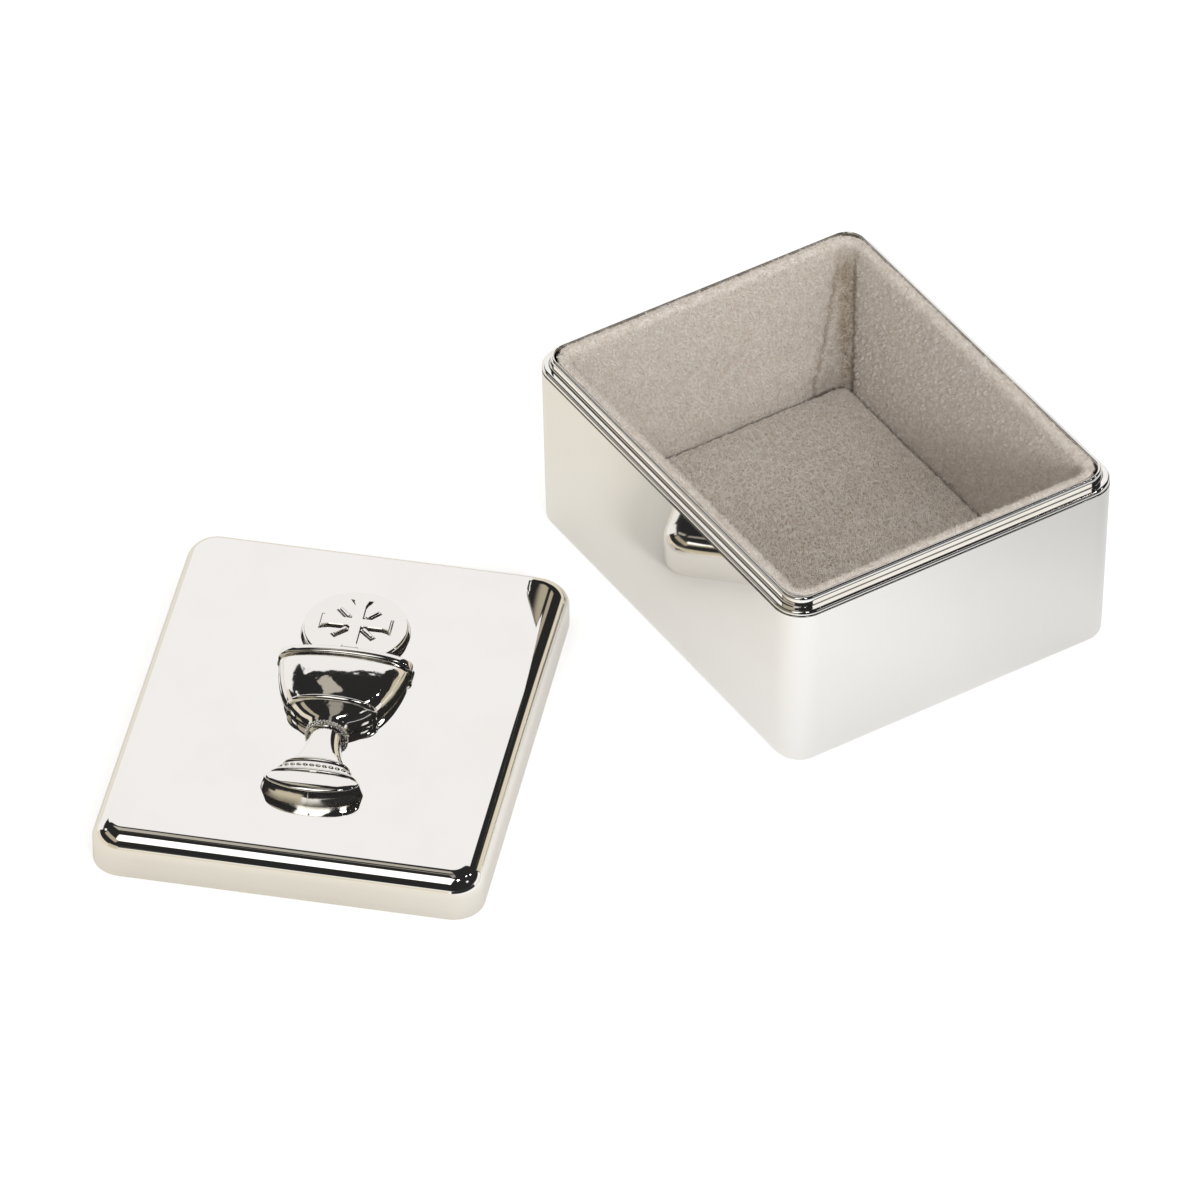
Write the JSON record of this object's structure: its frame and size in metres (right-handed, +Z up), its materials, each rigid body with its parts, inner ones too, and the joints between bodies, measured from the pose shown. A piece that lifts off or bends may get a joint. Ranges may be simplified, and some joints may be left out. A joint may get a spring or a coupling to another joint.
{
  "type": "communion keepsake box",
  "caption": "Small rounded rectangular metal box with a stepped rim, pile-lined inside, and a loose lid with a chalice and host in relief.",
  "frame": {"origin": "centre of the box's underside, on the surface it stands on", "axes": "+Z up through the open box, X across its short side, Y along its long side"},
  "size_m": [0.159, 0.0906, 0.0321],
  "materials": {
    "silver_plate": "mirror-polished silver plate",
    "cast_silver": "polished silver-plated casting",
    "velour": "short-pile velour, warm light grey",
    "greyboard": "plain greyboard card"
  },
  "bodies": {
    "box_body": {"base_shell": "silver_plate", "base_collar": "silver_plate", "wall_lining_card": "greyboard", "wall_lining_velour": "velour", "floor_pad_card": "greyboard", "floor_pad_velour": "velour"},
    "lid": {"lid_shell": "silver_plate", "lid_lining_card": "greyboard", "lid_lining_velour": "velour", "chalice": "cast_silver", "host_disc": "cast_silver"}
  },
  "joints": [
    {"name": "lid_lift", "type": "slide", "parent": "box_body", "child": "lid", "axis": [0, 0, 1], "range_m": [0, 0.06]}
  ]
}
